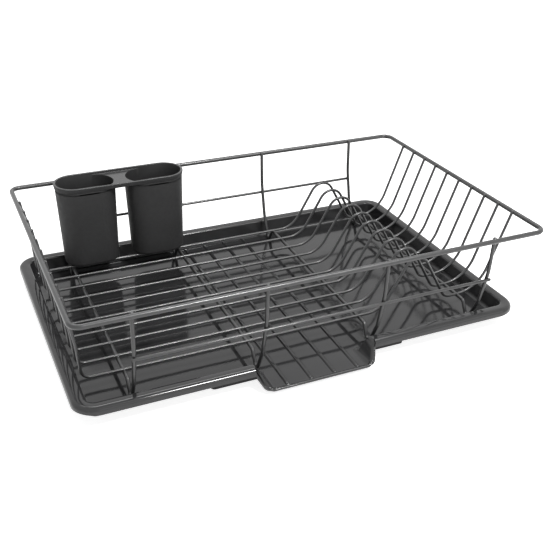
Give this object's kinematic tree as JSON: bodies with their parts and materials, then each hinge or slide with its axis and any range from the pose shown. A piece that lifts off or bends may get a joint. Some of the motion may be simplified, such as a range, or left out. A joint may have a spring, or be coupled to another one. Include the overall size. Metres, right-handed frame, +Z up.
{
  "type": "dish drying rack",
  "caption": "Dish drying rack: a coated wire basket with plate humps, lifted out of a glossy drip tray with a drain spout, and a two-well cutlery cup hooked on the back rim",
  "frame": {"origin": "middle of the whole object's outline, on the worktop under the tray's foot pads", "axes": "+X along the length towards the plate humps, +Y from the spout to the back where the cutlery cup hangs, +Z up"},
  "size_m": [0.4898, 0.329, 0.1212],
  "materials": {
    "rim_wire": "dark grey coating, satin",
    "wire": "dark grey coating, satin",
    "tray": "glossy dark grey plastic",
    "cup": "fine matte charcoal plastic"
  },
  "bodies": {
    "tray": {"drain_tray": "tray"},
    "basket": {"rim": "rim_wire", "long_wire_1": "wire", "long_wire_2": "wire", "long_wire_3": "wire", "long_wire_4": "wire", "long_wire_5": "wire", "long_wire_6": "wire", "long_wire_7": "wire", "long_wire_8": "wire", "long_wire_9": "wire", "long_wire_10": "wire", "cross_wire_1": "wire", "cross_wire_2": "wire", "cross_wire_3": "wire", "cross_wire_4": "wire", "front_rail": "wire", "back_rail": "wire"},
    "cup": {"cutlery_cup": "cup"}
  },
  "joints": [
    {"name": "basket_lift", "type": "slide", "parent": "tray", "child": "basket", "axis": [0, 0, 1], "range_m": [0, 0.14]},
    {"name": "cup_lift", "type": "slide", "parent": "basket", "child": "cup", "axis": [0, 0, 1], "range_m": [0, 0.12]}
  ]
}
